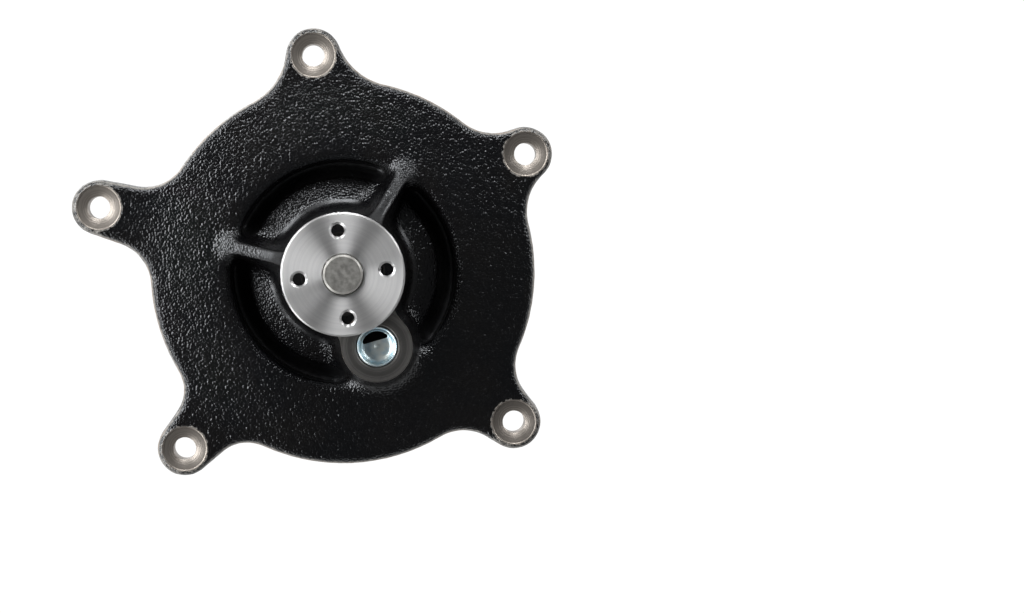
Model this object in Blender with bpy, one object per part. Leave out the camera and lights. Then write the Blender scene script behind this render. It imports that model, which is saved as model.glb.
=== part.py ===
"""Cover-type engine water pump: cast housing, pulley hub, integral-shaft bearing, face seal and impeller.

The shaft axis is Y, the hub faces -Y and +Z is up. The origin is where the shaft axis meets the
mounting face. Turned outlines are lists of (radius, height) pairs in millimetres, where height is
measured from the mounting face towards the hub, so the impeller's heights are negative.
"""

import math

import bmesh
import bpy
from mathutils import Matrix, Vector

MM = 0.001
GAP = 0.3  # left between pieces that touch or are pressed together

# Casting outline, seen from the hub side. Each lug has its name, angle, distance of the bolt hole,
# radius of the fillets beside it and taper of its flanks, with angles in degrees.
BODY_R = 95.3
LUG_R = 13.8
LUGS = (
    ("upper_right", 33.0, 107.5, 25.0, 13.0),
    ("top", 97.8, 108.1, 31.0, 15.0),
    ("left", 165.1, 124.3, 22.0, 4.5),
    ("lower_left", 228.0, 117.2, 18.5, 7.5),
    ("lower_right", 318.6, 112.6, 22.0, 10.0),
)
LUG_TOP = 16.0
EDGE_ROUND = 2.5
BOLT_HOLE_R = 5.55
BOLT_SEAT_R = 11.1
BOLT_SEAT = 14.4

# Casting relief
CORE_R = 92.3
PLATE_INNER_R = 91.2
DOME_INNER = (59.5, 20.5)
DOME_OUTER = (89.0, 16.7)
CHANNEL_FLOOR = 3.0
CHANNEL_R = 52.0
FOOT_CENTRE = (39.5, 19.2)  # of the fillet between the tower and the bell
FOOT_ROUND = 8.0
BELL_TILT = 16.0
BELL_EDGE = (46.5, 9.0)
TOWER_TOP = 51.0
TOWER_R = 27.0
PLATFORM_R = 56.0
PLATFORM = -5.0
RIB_ANGLES = (58.7, 166.7)
RIB_HALF_WIDTH = 2.2
RIB_DRAFT = math.tan(math.radians(9.0))

# Weep reservoir boss and its cup plug
BOSS_ANGLE = -65.4
BOSS_DISTANCE = 39.5
BOSS_R = 17.35
BOSS_TOP = 36.0
BOSS_DRAFT = math.tan(math.radians(8.0))
PLUG_R = 9.85
VENT_ANGLE = 106.0
VENT_R = 7.5
VENT_CHORD = 2.7

# Gasket and its groove
GROOVE_R = (84.2, 90.3)
GROOVE_DEPTH = 5.4
GASKET_R = (85.9, 90.0)
GASKET_PROUD = 0.8
NUBS = 14

# Bearing, shaft and hub
SHAFT_R = 9.525
SHAFT_ENDS = (-31.5, 67.5)
BEARING_R = 19.05
BEARING_ENDS = (13.0, 50.7)
LAND_R = 14.5
BALLS = 8
BALL_R = 3.4
BALL_ORBIT_R = 12.55
BALL_ROW = 42.0
ROLLERS = 10
ROLLER_R = 2.65
ROLLER_ORBIT_R = 12.35
ROLLER_ROW = (18.8, 28.2)
HUB_R = 30.0
HUB_FACES = (58.0, 66.0)
HUB_BOLTS = 4
HUB_BOLT_CIRCLE_R = 21.1
HUB_BOLT_ANGLE = 6.5
TAPPED_R = 3.35
TAPPED_CHAMFER_R = 4.3

# Impeller, with its vanes' sweep in degrees
IMPELLER_R = 50.0
DISC_FACES = (-12.0, -7.5)
VANES = 7
VANE_INNER_R = 22.5
VANE_OUTER_R = 49.3
VANE_HALF_WIDTH = 1.8
VANE_SWEEP = 46.0

# Facets round a full turn
FINE = 48
MEDIUM = 36
SMALL = 24


def clear_scene():
    for obj in list(bpy.data.objects):
        bpy.data.objects.remove(obj)


def material(name, colour, roughness, metallic):
    made = bpy.data.materials.new(name)
    made.use_nodes = True
    shader = made.node_tree.nodes["Principled BSDF"]
    shader.inputs["Base Color"].default_value = (*colour, 1.0)
    shader.inputs["Roughness"].default_value = roughness
    shader.inputs["Metallic"].default_value = metallic
    return made


def place(name, shape, finish):
    """Turns a bmesh into an object with its material, with round surfaces shaded smooth."""
    mesh = bpy.data.meshes.new(name)
    shape.to_mesh(mesh)
    shape.free()
    mesh.materials.append(finish)
    mesh.shade_smooth()
    mesh.set_sharp_from_angle(angle=math.radians(30.0))
    obj = bpy.data.objects.new(name, mesh)
    bpy.context.scene.collection.objects.link(obj)
    return obj


def lathe(name, outline, steps, finish):
    """A solid turned about the shaft's direction. An outline that starts and ends on the axis is open."""
    shape = bmesh.new()
    points = [shape.verts.new((r * MM, -h * MM, 0.0)) for r, h in outline]
    pairs = list(zip(points, points[1:]))
    if outline[0][0] > 0.0:
        pairs.append((points[-1], points[0]))
    edges = [shape.edges.new(pair) for pair in pairs]
    bmesh.ops.spin(
        shape,
        geom=points + edges,
        cent=(0.0, 0.0, 0.0),
        axis=(0.0, 1.0, 0.0),
        angle=2.0 * math.pi,
        steps=steps,
        use_merge=True,
    )
    bmesh.ops.remove_doubles(shape, verts=shape.verts, dist=1e-6)
    bmesh.ops.recalc_face_normals(shape, faces=shape.faces)
    return place(name, shape, finish)


def prism(name, outline, low, high, finish, rounding=0.0):
    """An (x, z) outline in mm extruded from one height to another, its front edge rounded if asked."""
    shape = bmesh.new()
    floor = shape.faces.new([shape.verts.new((x * MM, -low * MM, z * MM)) for x, z in outline])
    grown = bmesh.ops.extrude_face_region(shape, geom=[floor])["geom"]
    raised = [item for item in grown if isinstance(item, bmesh.types.BMVert)]
    bmesh.ops.translate(shape, verts=raised, vec=(0.0, -(high - low) * MM, 0.0))
    if rounding:
        front = [edge for edge in shape.edges if all(vert in raised for vert in edge.verts)]
        bmesh.ops.bevel(
            shape, geom=front, offset=rounding * MM, segments=2, profile=0.5, affect="EDGES"
        )
    bmesh.ops.recalc_face_normals(shape, faces=shape.faces)
    return place(name, shape, finish)


def polar(radius, degrees):
    """(x, z) in mm of a point at that angle, seen from the hub side."""
    turn = math.radians(degrees)
    return radius * math.cos(turn), radius * math.sin(turn)


def put(obj, radius, degrees, parent=None):
    """Moves an object's origin to a place in the pump's face, and turns it to face away from the shaft."""
    x, z = polar(radius, degrees)
    obj.location = (x * MM, 0.0, z * MM)
    obj.rotation_euler = (0.0, -math.radians(degrees), 0.0)
    obj.parent = parent
    return obj


def combine(target, other, operation):
    """Joins or cuts with a helper object, which is then left out of the build."""
    step = target.modifiers.new(f"{operation.lower()}_{other.name}", "BOOLEAN")
    step.operation = operation
    step.solver = "EXACT"
    step.object = other
    other.hide_render = True
    other.display_type = "WIRE"


def arc(centre, radius, start, end, steps):
    """Points on an arc, angles in degrees, both ends included."""
    turns = [math.radians(start + (end - start) * i / steps) for i in range(steps + 1)]
    return [(centre[0] + radius * math.cos(t), centre[1] + radius * math.sin(t)) for t in turns]


def casting_outline():
    """The body circle with a round lug at each bolt. Each lug widens inwards between two straight
    flanks, which run into the circle by hollow fillets."""
    shapes = []
    for _, angle, distance, fillet, taper in LUGS:
        lean = 90.0 - taper
        away = distance * math.cos(math.radians(lean)) + LUG_R + fillet
        along = math.sqrt((BODY_R + fillet) ** 2 - away**2)
        shapes.append((angle, distance, fillet, lean, lean - math.degrees(math.atan2(along, away))))
    points = []
    for (angle, distance, fillet, lean, spread), after in zip(shapes, shapes[1:] + shapes[:1]):
        first, second = polar(BODY_R + fillet, angle - spread), polar(BODY_R + fillet, angle + spread)
        points += arc(first, fillet, angle - spread + 180.0, angle - lean + 180.0, 4)
        points += arc(polar(distance, angle), LUG_R, angle - lean, angle + lean, 10)
        points += arc(second, fillet, angle + lean + 180.0, angle + spread + 180.0, 4)
        start, end = angle + spread, after[0] - after[4]
        points += arc((0.0, 0.0), BODY_R, start, start + (end - start) % 360.0, 5)[1:-1]
    return points


def core_outline():
    """The casting's turned middle, before boring: tower, bell, channel and dome in front, then the
    gasket groove, relief and platform behind."""
    corner = (CHANNEL_R, CHANNEL_FLOOR + 3.0)
    lip = (DOME_INNER[0], DOME_INNER[1] - 3.5)
    front = [(0.0, TOWER_TOP), (TOWER_R - 1.0, TOWER_TOP), (TOWER_R, TOWER_TOP - 1.0)]
    front += arc(FOOT_CENTRE, FOOT_ROUND, 191.0, 270.0 - BELL_TILT, 4)
    front.append(BELL_EDGE)
    front += arc(corner, 3.0, 270.0, 360.0, 2)
    front += arc(lip, 3.5, 180.0, 90.0, 2)
    front += [(76.0, 19.2), DOME_OUTER, (CORE_R - 0.7, LUG_TOP + 0.2), (CORE_R, LUG_TOP - 0.8)]
    rear = [(CORE_R, 0.0), (GROOVE_R[1], 0.0), (GROOVE_R[1], GROOVE_DEPTH)]
    rear += [(GROOVE_R[0], GROOVE_DEPTH), (GROOVE_R[0], 0.0), (77.0, 0.0), (76.2, 7.5)]
    rear += [(73.2, 10.5), (64.5, 11.0), (57.5, PLATFORM + 1.5), (PLATFORM_R, PLATFORM)]
    rear += [(0.0, PLATFORM)]
    return front + rear


def bore_outline():
    """The seal's counterbore and bore, a shoulder, then the bearing's bore with its chamfered mouth."""
    bearing_r = BEARING_R + GAP
    outline = [(0.0, PLATFORM - 4.0), (24.0, PLATFORM - 4.0), (24.0, -2.0), (18.25 + GAP, -2.0)]
    outline += [(18.25 + GAP, 8.0), (16.5, 8.0), (16.5, 12.7), (bearing_r, 12.7)]
    outline += [(bearing_r, TOWER_TOP - 0.8), (bearing_r + 1.8, TOWER_TOP + 1.0), (0.0, TOWER_TOP + 1.0)]
    return outline


def rib(number, finish):
    """A gusset from the tower down to the dome, with drafted sides and a rounded ridge. Its foot
    stays inside the metal, which is thinner under the dome than under the channel."""
    stations = ((23.0, 48.5, 0.0), (54.0, 25.5, 0.0), (61.5, 20.0, 9.0))
    shape = bmesh.new()
    rings = []
    for radius, top, foot in stations:
        base = RIB_HALF_WIDTH + (top - foot) * RIB_DRAFT
        section = ((-base, foot), (-RIB_HALF_WIDTH, top - 1.0), (-RIB_HALF_WIDTH + 1.2, top))
        section += tuple((-side, height) for side, height in reversed(section))
        rings.append([shape.verts.new((radius * MM, -h * MM, s * MM)) for s, h in section])
    for near, far in zip(rings, rings[1:]):
        for i in range(len(near)):
            j = (i + 1) % len(near)
            shape.faces.new((near[i], near[j], far[j], far[i]))
    shape.faces.new(rings[0])
    shape.faces.new(rings[-1])
    bmesh.ops.recalc_face_normals(shape, faces=shape.faces)
    made = place(f"rib_{number}", shape, finish)
    made.rotation_euler = (0.0, -math.radians(RIB_ANGLES[number]), 0.0)
    return made


def lug_plate(iron):
    """The rim and lugs as one thick ring, with a spot-faced bolt hole through each lug."""
    plate = prism("plate", casting_outline(), 0.0, LUG_TOP, iron, EDGE_ROUND)
    inner = [(0.0, -9.0), (PLATE_INNER_R, -9.0), (PLATE_INNER_R, 30.0), (0.0, 30.0)]
    combine(plate, lathe("plate_middle", inner, FINE, iron), "DIFFERENCE")
    for name, angle, distance, _, _ in LUGS:
        hole = [(0.0, -9.0), (BOLT_HOLE_R, -9.0), (BOLT_HOLE_R, BOLT_SEAT), (BOLT_SEAT_R, BOLT_SEAT)]
        hole += [(BOLT_SEAT_R, 30.0), (0.0, 30.0)]
        tool = lathe(f"bolt_hole_{name}", hole, SMALL, iron)
        combine(plate, put(tool, distance, angle), "DIFFERENCE")
    return plate


def housing(iron):
    body = lathe("housing", core_outline(), FINE, iron)
    combine(body, lug_plate(iron), "UNION")
    for number in range(len(RIB_ANGLES)):
        combine(body, rib(number, iron), "UNION")

    foot = 1.0
    boss_foot_r = BOSS_R + (BOSS_TOP - foot) * BOSS_DRAFT
    outline = [(0.0, foot), (boss_foot_r, foot), (BOSS_R, BOSS_TOP), (0.0, BOSS_TOP)]
    boss = lathe("boss", outline, MEDIUM, iron)
    combine(body, put(boss, BOSS_DISTANCE, BOSS_ANGLE), "UNION")
    combine(body, lathe("bore", bore_outline(), FINE, iron), "DIFFERENCE")

    bore_r = PLUG_R + GAP
    reservoir = [(0.0, 7.0), (bore_r, 7.0), (bore_r, BOSS_TOP - 0.75), (bore_r + 1.15, BOSS_TOP + 0.4)]
    reservoir += [(13.0, BOSS_TOP + 0.4), (13.0, 60.0), (0.0, 60.0)]
    tool = lathe("reservoir", reservoir, MEDIUM, iron)
    combine(body, put(tool, BOSS_DISTANCE, BOSS_ANGLE), "DIFFERENCE")

    drain = bmesh.new()
    bmesh.ops.create_cone(
        drain,
        cap_ends=True,
        segments=12,
        radius1=2.2 * MM,
        radius2=2.2 * MM,
        depth=20.0 * MM,
        matrix=Matrix.Translation((0.0, -10.35 * MM, 0.0)) @ Matrix.Rotation(math.pi / 2.0, 4, "Y"),
    )
    combine(body, put(place("drain", drain, iron), 23.0, BOSS_ANGLE), "DIFFERENCE")


def gasket(rubber):
    top, bottom = GROOVE_DEPTH - GAP, -GASKET_PROUD
    inner, outer = GASKET_R
    ring = lathe("gasket", [(inner, bottom), (outer, bottom), (outer, top), (inner, top)], 56, rubber)
    for number in range(NUBS):
        block = [(-1.3, -1.4), (0.4, -1.4), (0.4, 1.4), (-1.3, 1.4)]
        nub = prism(f"nub_{number}", block, 0.4, top - 0.3, rubber)
        combine(ring, put(nub, inner, 360.0 * (number + 0.5) / NUBS), "UNION")
    return ring


def weep_plug(zinc):
    cup = [(0.0, 31.6), (5.8, 31.9), (7.8, 32.7), (8.8, 34.2), (9.0, 35.6), (PLUG_R - 0.2, 35.7)]
    cup += [(PLUG_R, 35.4), (PLUG_R, 32.2), (9.2, 31.0), (7.2, 30.5), (0.0, 30.4)]
    plug = lathe("weep_plug", cup, MEDIUM, zinc)
    half = math.degrees(math.acos(VENT_CHORD / VENT_R))
    moon = arc((0.0, 0.0), VENT_R, VENT_ANGLE - half, VENT_ANGLE + half, 10)
    x, z = polar(BOSS_DISTANCE, BOSS_ANGLE)
    vent = prism("vent", moon, 20.0, 40.0, zinc)
    for obj in (plug, vent):
        obj.location = (x * MM, 0.0, z * MM)
    combine(plug, vent, "DIFFERENCE")
    return plug


def raceway(centre_r, half_angle, steps, side):
    """A ball groove's cross-section: side 1 for the outer ring, -1 for the shaft."""
    groove_r = BALL_R + 0.2
    turns = [half_angle * (2.0 * i / steps - 1.0) for i in range(steps + 1)]
    return [
        (centre_r + side * groove_r * math.cos(t), BALL_ROW - groove_r * math.sin(t)) for t in turns
    ]


def bearing(steel, dark_steel, nylon, rubber, rows):
    """The fixed ring and seals, then both rows of rolling pieces with their cages."""
    rear, front = BEARING_ENDS
    race_r = ROLLER_ORBIT_R + ROLLER_R + 0.25
    roll_low, roll_high = ROLLER_ROW[0] - 0.3, ROLLER_ROW[1] + 0.3
    ring = [(BEARING_R - 0.6, rear), (BEARING_R, rear + 0.6), (BEARING_R, front - 0.6)]
    ring += [(BEARING_R - 0.6, front), (16.4, front), (16.4, front - 3.2), (LAND_R, front - 3.2)]
    ring += raceway(BALL_ORBIT_R, math.acos((LAND_R - BALL_ORBIT_R) / (BALL_R + 0.2)), 4, 1)
    ring += [(LAND_R, roll_high), (race_r, roll_high), (race_r, roll_low), (LAND_R, roll_low)]
    ring += [(LAND_R, rear + 3.2), (16.4, rear + 3.2), (16.4, rear)]
    lathe("bearing_outer_ring", ring, MEDIUM, dark_steel)

    lip = [(16.1, 2.9), (16.1, 0.3), (11.0, 0.3), (SHAFT_R + GAP, 1.1), (SHAFT_R + GAP, 1.8)]
    lip += [(11.0, 1.5), (15.2, 1.5), (15.2, 2.9)]
    lathe("front_bearing_seal", [(r, front - depth) for r, depth in lip], SMALL, rubber)
    lathe("rear_bearing_seal", [(r, rear + depth) for r, depth in lip], SMALL, rubber)

    crown = [(11.3, 37.4), (13.7, 37.4), (13.7, 43.6), (11.3, 43.6)]
    cage = lathe("ball_cage", crown, SMALL, nylon)
    cage.parent = rows["ball_row"]
    for number in range(BALLS):
        angle = 360.0 * number / BALLS
        for kind, radius in (("ball", BALL_R), ("pocket", BALL_R + 0.3)):
            sphere = bmesh.new()
            bmesh.ops.create_uvsphere(sphere, u_segments=10, v_segments=6, radius=radius * MM)
            made = put(place(f"{kind}_{number + 1}", sphere, steel), BALL_ORBIT_R, angle, rows["ball_row"])
            made.location.y = -BALL_ROW * MM
            if kind == "pocket":
                combine(cage, made, "DIFFERENCE")

    low, high = ROLLER_ROW
    hoop = [(11.4, low - 1.6), (13.3, low - 1.6), (13.3, high + 1.6), (11.4, high + 1.6)]
    cage = lathe("roller_cage", hoop, SMALL, nylon)
    cage.parent = rows["roller_row"]
    half = ROLLER_R + 0.2
    for number in range(ROLLERS):
        angle = 360.0 * (number + 0.5) / ROLLERS
        outline = [(0.0, low), (ROLLER_R - 0.4, low), (ROLLER_R, low + 0.4)]
        outline += [(ROLLER_R, high - 0.4), (ROLLER_R - 0.4, high), (0.0, high)]
        roller = lathe(f"roller_{number + 1}", outline, 12, steel)
        put(roller, ROLLER_ORBIT_R, angle, rows["roller_row"])
        window = [(-2.4, -half), (2.4, -half), (2.4, half), (-2.4, half)]
        hole = prism(f"window_{number + 1}", window, low - 0.2, high + 0.2, nylon)
        combine(cage, put(hole, ROLLER_ORBIT_R, angle, rows["roller_row"]), "DIFFERENCE")


def face_seal(brass, rubber, spring_steel, steel, carbon, ceramic, rotor):
    """The stationary half is pressed into the housing; the seat and its boot turn with the impeller."""
    case = [(11.0, 7.7), (17.65, 7.7), (18.25, 7.1), (18.25, -2.3), (22.5, -2.3), (22.5, -3.2)]
    lathe("seal_case", case + [(17.35, -3.2), (17.35, 6.8), (11.0, 6.8)], SMALL, brass)
    sleeve = [(11.3, 6.5), (16.6, 6.5), (16.6, 5.3), (13.4, 5.0), (13.4, 2.4), (14.3, 1.5), (14.3, 0.5)]
    sleeve += [(13.4, -0.4), (13.4, -2.2), (11.3, -2.2), (11.3, -0.9), (12.3, 0.4), (12.3, 1.6)]
    sleeve += [(11.3, 2.9)]
    lathe("seal_bellows", sleeve, SMALL, rubber)
    carrier = [(13.7, -2.6), (16.6, -2.6), (16.6, -6.0), (15.9, -6.0), (15.9, -3.4), (13.7, -3.4)]
    lathe("seal_carrier", carrier, SMALL, steel)
    nose = [(11.2, -2.5), (13.4, -2.5), (13.4, -3.7), (15.6, -3.7), (15.6, -6.5), (14.2, -6.5)]
    lathe("carbon_ring", nose + [(14.2, -8.6), (11.8, -8.6), (11.8, -6.5), (11.2, -6.5)], SMALL, carbon)

    wire = bpy.data.curves.new("seal_spring", "CURVE")
    wire.dimensions = "3D"
    wire.bevel_depth = 0.7 * MM
    wire.bevel_resolution = 1
    wire.use_fill_caps = True
    turns, steps, coil_r, top, pitch = 2.75, 12, 15.6, 4.2, 2.05
    count = int(turns * steps) + 1
    helix = wire.splines.new("POLY")
    helix.points.add(count - 1)
    for number, point in enumerate(helix.points):
        x, z = polar(coil_r, 360.0 * number / steps)
        point.co = (x * MM, -(top - pitch * number / steps) * MM, z * MM, 1.0)
    wire.materials.append(spring_steel)
    bpy.context.scene.collection.objects.link(bpy.data.objects.new("seal_spring", wire))

    seat = [(10.6, -8.9), (15.8, -8.9), (16.2, -9.3), (16.2, -13.0), (10.6, -13.0)]
    lathe("seal_seat", seat, SMALL, ceramic).parent = rotor
    boot = [(16.5, -9.6), (18.6, -9.6), (18.6, -15.0), (10.2, -15.0), (10.2, -13.3), (16.5, -13.3)]
    lathe("seat_boot", boot, SMALL, rubber).parent = rotor


def shaft(steel, rotor):
    rear, front = SHAFT_ENDS
    outline = [(0.0, front), (SHAFT_R - 0.9, front), (SHAFT_R, front - 0.9)]
    outline += raceway(BALL_ORBIT_R, -math.acos((BALL_ORBIT_R - SHAFT_R) / (BALL_R + 0.2)), 4, -1)[::-1]
    outline += [(SHAFT_R, rear + 0.9), (SHAFT_R - 0.9, rear), (0.0, rear)]
    lathe("bearing_shaft", outline, MEDIUM, steel).parent = rotor


def hub(steel, rotor):
    rear, front = HUB_FACES
    bore = SHAFT_R + GAP
    outline = [(bore, 53.0), (14.0, 53.0), (15.0, 54.0), (15.0, rear), (HUB_R - 0.8, rear)]
    outline += [(HUB_R, rear + 0.8), (HUB_R, front - 0.8), (HUB_R - 0.8, front)]
    outline += [(bore + 0.4, front), (bore, front - 0.4)]
    disc = lathe("hub", outline, MEDIUM, steel)
    disc.parent = rotor
    for number in range(HUB_BOLTS):
        edge = TAPPED_CHAMFER_R - TAPPED_R
        drill = [(0.0, 50.0), (TAPPED_R, 50.0), (TAPPED_R, front - edge)]
        drill += [(TAPPED_CHAMFER_R + 1.0, front + 1.0), (0.0, front + 1.0)]
        tool = lathe(f"tapped_hole_{number + 1}", drill, 20, steel)
        put(tool, HUB_BOLT_CIRCLE_R, HUB_BOLT_ANGLE + 360.0 * number / HUB_BOLTS, rotor)
        combine(disc, tool, "DIFFERENCE")


def vane(number, iron):
    """A vane on the disc's rear side, its tip trailing its root as the shaft turns clockwise
    seen from the hub."""
    steps = 7
    root, growth = DISC_FACES[0] + 2.0, math.log(VANE_OUTER_R / VANE_INNER_R)
    start = 360.0 * number / VANES
    line = []
    for i in range(steps + 1):
        radius = VANE_INNER_R * math.exp(growth * i / steps)
        line.append(Vector(polar(radius, start + VANE_SWEEP * i / steps)))
    shape = bmesh.new()
    rings = []
    for i, point in enumerate(line):
        along = line[min(i + 1, steps)] - line[max(i - 1, 0)]
        side = Vector((-along.y, along.x)).normalized() * VANE_HALF_WIDTH
        tip = -30.0 + 5.0 * (point.length - VANE_INNER_R) / (VANE_OUTER_R - VANE_INNER_R)
        corners = [(point + side, root), (point + side, tip), (point - side, tip), (point - side, root)]
        rings.append([shape.verts.new((p.x * MM, -h * MM, p.y * MM)) for p, h in corners])
    for near, far in zip(rings, rings[1:]):
        for i in range(4):
            shape.faces.new((near[i], near[(i + 1) % 4], far[(i + 1) % 4], far[i]))
    shape.faces.new(rings[0])
    shape.faces.new(rings[-1])
    bmesh.ops.recalc_face_normals(shape, faces=shape.faces)
    return place(f"vane_{number + 1}", shape, iron)


def impeller(iron, rotor):
    rear, front = DISC_FACES
    bore = SHAFT_R + GAP
    outline = [(bore, -32.0), (14.6, -32.0), (15.6, -31.0), (22.5, -17.0), (23.5, -13.5), (26.0, rear)]
    outline += [(IMPELLER_R - 0.5, rear), (IMPELLER_R, rear + 0.5), (IMPELLER_R, front - 0.5)]
    outline += [(IMPELLER_R - 0.5, front), (18.9, front), (18.9, -15.3), (bore, -15.3)]
    wheel = lathe("impeller", outline, MEDIUM, iron)
    wheel.parent = rotor
    for number in range(VANES):
        blade = vane(number, iron)
        blade.parent = rotor
        combine(wheel, blade, "UNION")


def axis_empty(name):
    empty = bpy.data.objects.new(name, None)
    bpy.context.scene.collection.objects.link(empty)
    return empty


def main():
    clear_scene()
    black_iron = material("black_painted_iron", (0.012, 0.012, 0.014), 0.35, 0.0)
    bare_iron = material("bare_iron", (0.20, 0.19, 0.18), 0.55, 0.9)
    machined = material("machined_steel", (0.58, 0.58, 0.57), 0.25, 1.0)
    dark_steel = material("dark_steel", (0.33, 0.33, 0.34), 0.35, 1.0)
    zinc = material("zinc_plate", (0.55, 0.66, 0.74), 0.2, 1.0)
    brass = material("brass", (0.72, 0.52, 0.25), 0.3, 1.0)
    rubber = material("rubber", (0.02, 0.02, 0.022), 0.6, 0.0)
    nylon = material("nylon", (0.35, 0.30, 0.20), 0.5, 0.0)
    carbon = material("carbon", (0.03, 0.03, 0.03), 0.4, 0.0)
    ceramic = material("ceramic", (0.85, 0.84, 0.80), 0.25, 0.0)

    rotor = axis_empty("rotor_axis")
    rows = {name: axis_empty(name) for name in ("ball_row", "roller_row")}
    housing(black_iron)
    gasket(rubber)
    weep_plug(zinc)
    bearing(machined, dark_steel, nylon, rubber, rows)
    face_seal(brass, rubber, machined, dark_steel, carbon, ceramic, rotor)
    shaft(machined, rotor)
    hub(machined, rotor)
    impeller(bare_iron, rotor)


main()
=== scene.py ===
"""The looks of an engine water pump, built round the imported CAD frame.

Shapes are worked out in millimetres: x to the right and z up as seen from the hub, and a height
measured from the mounting face towards the hub. Object space is in metres, where height is -Y.
"""

import math

import bmesh
import bpy
import numpy as np
from mathutils import Matrix, Vector


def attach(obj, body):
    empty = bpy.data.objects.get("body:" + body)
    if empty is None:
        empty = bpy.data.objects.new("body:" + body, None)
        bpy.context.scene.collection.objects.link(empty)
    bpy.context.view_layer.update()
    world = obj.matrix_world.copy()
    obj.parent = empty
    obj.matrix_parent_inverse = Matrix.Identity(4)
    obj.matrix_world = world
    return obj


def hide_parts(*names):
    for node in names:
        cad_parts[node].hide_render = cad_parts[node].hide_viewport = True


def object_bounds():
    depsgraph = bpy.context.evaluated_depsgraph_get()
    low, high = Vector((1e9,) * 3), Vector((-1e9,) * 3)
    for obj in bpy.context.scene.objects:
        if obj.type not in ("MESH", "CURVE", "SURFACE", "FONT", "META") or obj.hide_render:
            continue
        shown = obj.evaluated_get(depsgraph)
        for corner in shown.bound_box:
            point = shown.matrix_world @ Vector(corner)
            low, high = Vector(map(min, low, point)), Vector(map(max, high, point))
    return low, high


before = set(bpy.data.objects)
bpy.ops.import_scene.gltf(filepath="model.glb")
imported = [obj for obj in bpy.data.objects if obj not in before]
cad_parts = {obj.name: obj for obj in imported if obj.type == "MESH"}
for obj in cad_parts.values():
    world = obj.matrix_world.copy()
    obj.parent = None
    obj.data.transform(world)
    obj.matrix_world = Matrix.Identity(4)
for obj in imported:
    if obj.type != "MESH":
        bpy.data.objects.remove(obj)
CAD_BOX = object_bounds()

MM = 0.001
FINE = 192  # facets round a turned piece
SMALL = 96  # facets round a small one
TABLE_STEP = 0.25  # of the distance table behind a turned field

# Grids of the two pieces that are made from fields: step, quick step, and the box that they fill
CASTING_CELL, QUICK_CASTING_CELL = 1.05, 1.3
WHEEL_CELL, QUICK_WHEEL_CELL = 0.8, 1.1
CASTING_BOX = ((-138.5, -104.0, -7.0), (106.0, 125.0, 53.0))
WHEEL_BOX = ((-52.0, -52.0, -34.0), (52.0, 52.0, -5.0))

# Casting outline: lugs as (angle, distance of the bolt hole, fillets' radius, taper), in degrees and mm
BODY_R = 95.3
LUG_R = 13.8
LUGS = (
    (33.0, 107.5, 25.0, 13.0),
    (97.8, 108.1, 31.0, 15.0),
    (165.1, 124.3, 22.0, 4.5),
    (228.0, 117.2, 18.5, 7.5),
    (318.6, 112.6, 22.0, 10.0),
)
BOLT_HOLE_R = 5.55
BOLT_SEAT_R = 11.1
BOLT_SEAT = 14.4
SEAT_DISH = 0.55  # the spot faces are worn hollow by this much

# Casting relief. The dome goes as (radius, height) from its crest out past the lugs.
DOME = ((64.0, 20.6), (70.0, 20.0), (76.0, 19.3), (82.0, 18.55), (88.0, 17.75), (94.0, 16.95))
DOME += ((99.0, 16.4), (104.0, 16.1), (110.0, 16.0), (150.0, 16.0))
PLATE_R = 66.0  # the rim's plate reaches in to here, under the dome
CORE_R = 91.5  # and the turned middle reaches out to here
RIM_EDGE = 3.0  # rounding of the rim's front edge
RIM_DRAFT = 0.035
PARTING = 4.0  # height at which the rim has its true outline
REAR_STOCK = 2.0  # cut away behind the mounting face
CHANNEL_FLOOR = 3.0
CHANNEL_CORNER = 1.5
DOME_LIP = (59.5, 16.3)  # centre of the round from the channel's wall to the dome
DOME_LIP_ROUND = 4.5
FOOT_CENTRE = (39.5, 19.2)  # of the fillet between the tower and the bell
FOOT_ROUND = 8.0
BELL_TILT = 16.0
BELL_EDGE = (46.5, 9.0)
SMOOTH_R = 35.8  # the skin is smooth within this radius
TOWER_TOP = 51.0
TOWER_R = 27.0
PLATFORM = -5.0
RIB_ANGLES = (58.7, 166.7)
RIB_HALF_WIDTH = 2.9
RIB_DRAFT = math.radians(9.0)
RIB_TOP = 48.5
RIB_SLOPE = 0.74
RIB_START = 23.0  # the ridge slopes down from here outwards
RIB_REACH = (12.0, 61.0)
RIB_BOTTOM = 6.0
RIB_BLEND = 7.5
BOSS_ANGLE = -65.4
BOSS_DISTANCE = 39.5
BOSS_R = 17.35
BOSS_TOP = 36.0
BOSS_STOCK = 1.5  # cut away above the machined face
BOSS_DRAFT = math.radians(8.0)
BOSS_BLEND = 9.0

# Casting skin
LUMP_DEPTH = 0.16
LUMPS = (3.1, 1.9)  # sizes of the broad and the fine lumps
PEBBLE = 1.1  # size of a grain under the paint
PEBBLE_DEPTH = 0.33
RIB_GRAIN = (38.0, 9.0)  # the ribs' skin turns sand-cast outwards of this radius, over this distance
POOL_R = 60.0  # paint pooled in the channel within this radius
POOL_TOP = 13.0  # and below this height
EDGE_BAND = 2.8  # width of the rim's rubbed front edge
EDGE_WEAR = 12.4  # the rim is rubbed above this height
BASE_WEAR = 2.4  # and below this one
RAGGED = 7.0  # size of the waves in the border of the rubbed paint
CAVITY = (84.0, 11.5)  # radius and height of the unpainted hollow behind the casting
SEAT_REACH = 13.0  # faces this near a bolt's axis were turned about it
POCKET_REACH = 22.0

# Gasket and its groove
GROOVE_R = (84.2, 90.3)
GROOVE_DEPTH = 5.4
GASKET_R = (85.9, 90.0)
GASKET_PROUD = 0.8
GASKET_ROUND = 0.5
NUBS = 14

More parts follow.
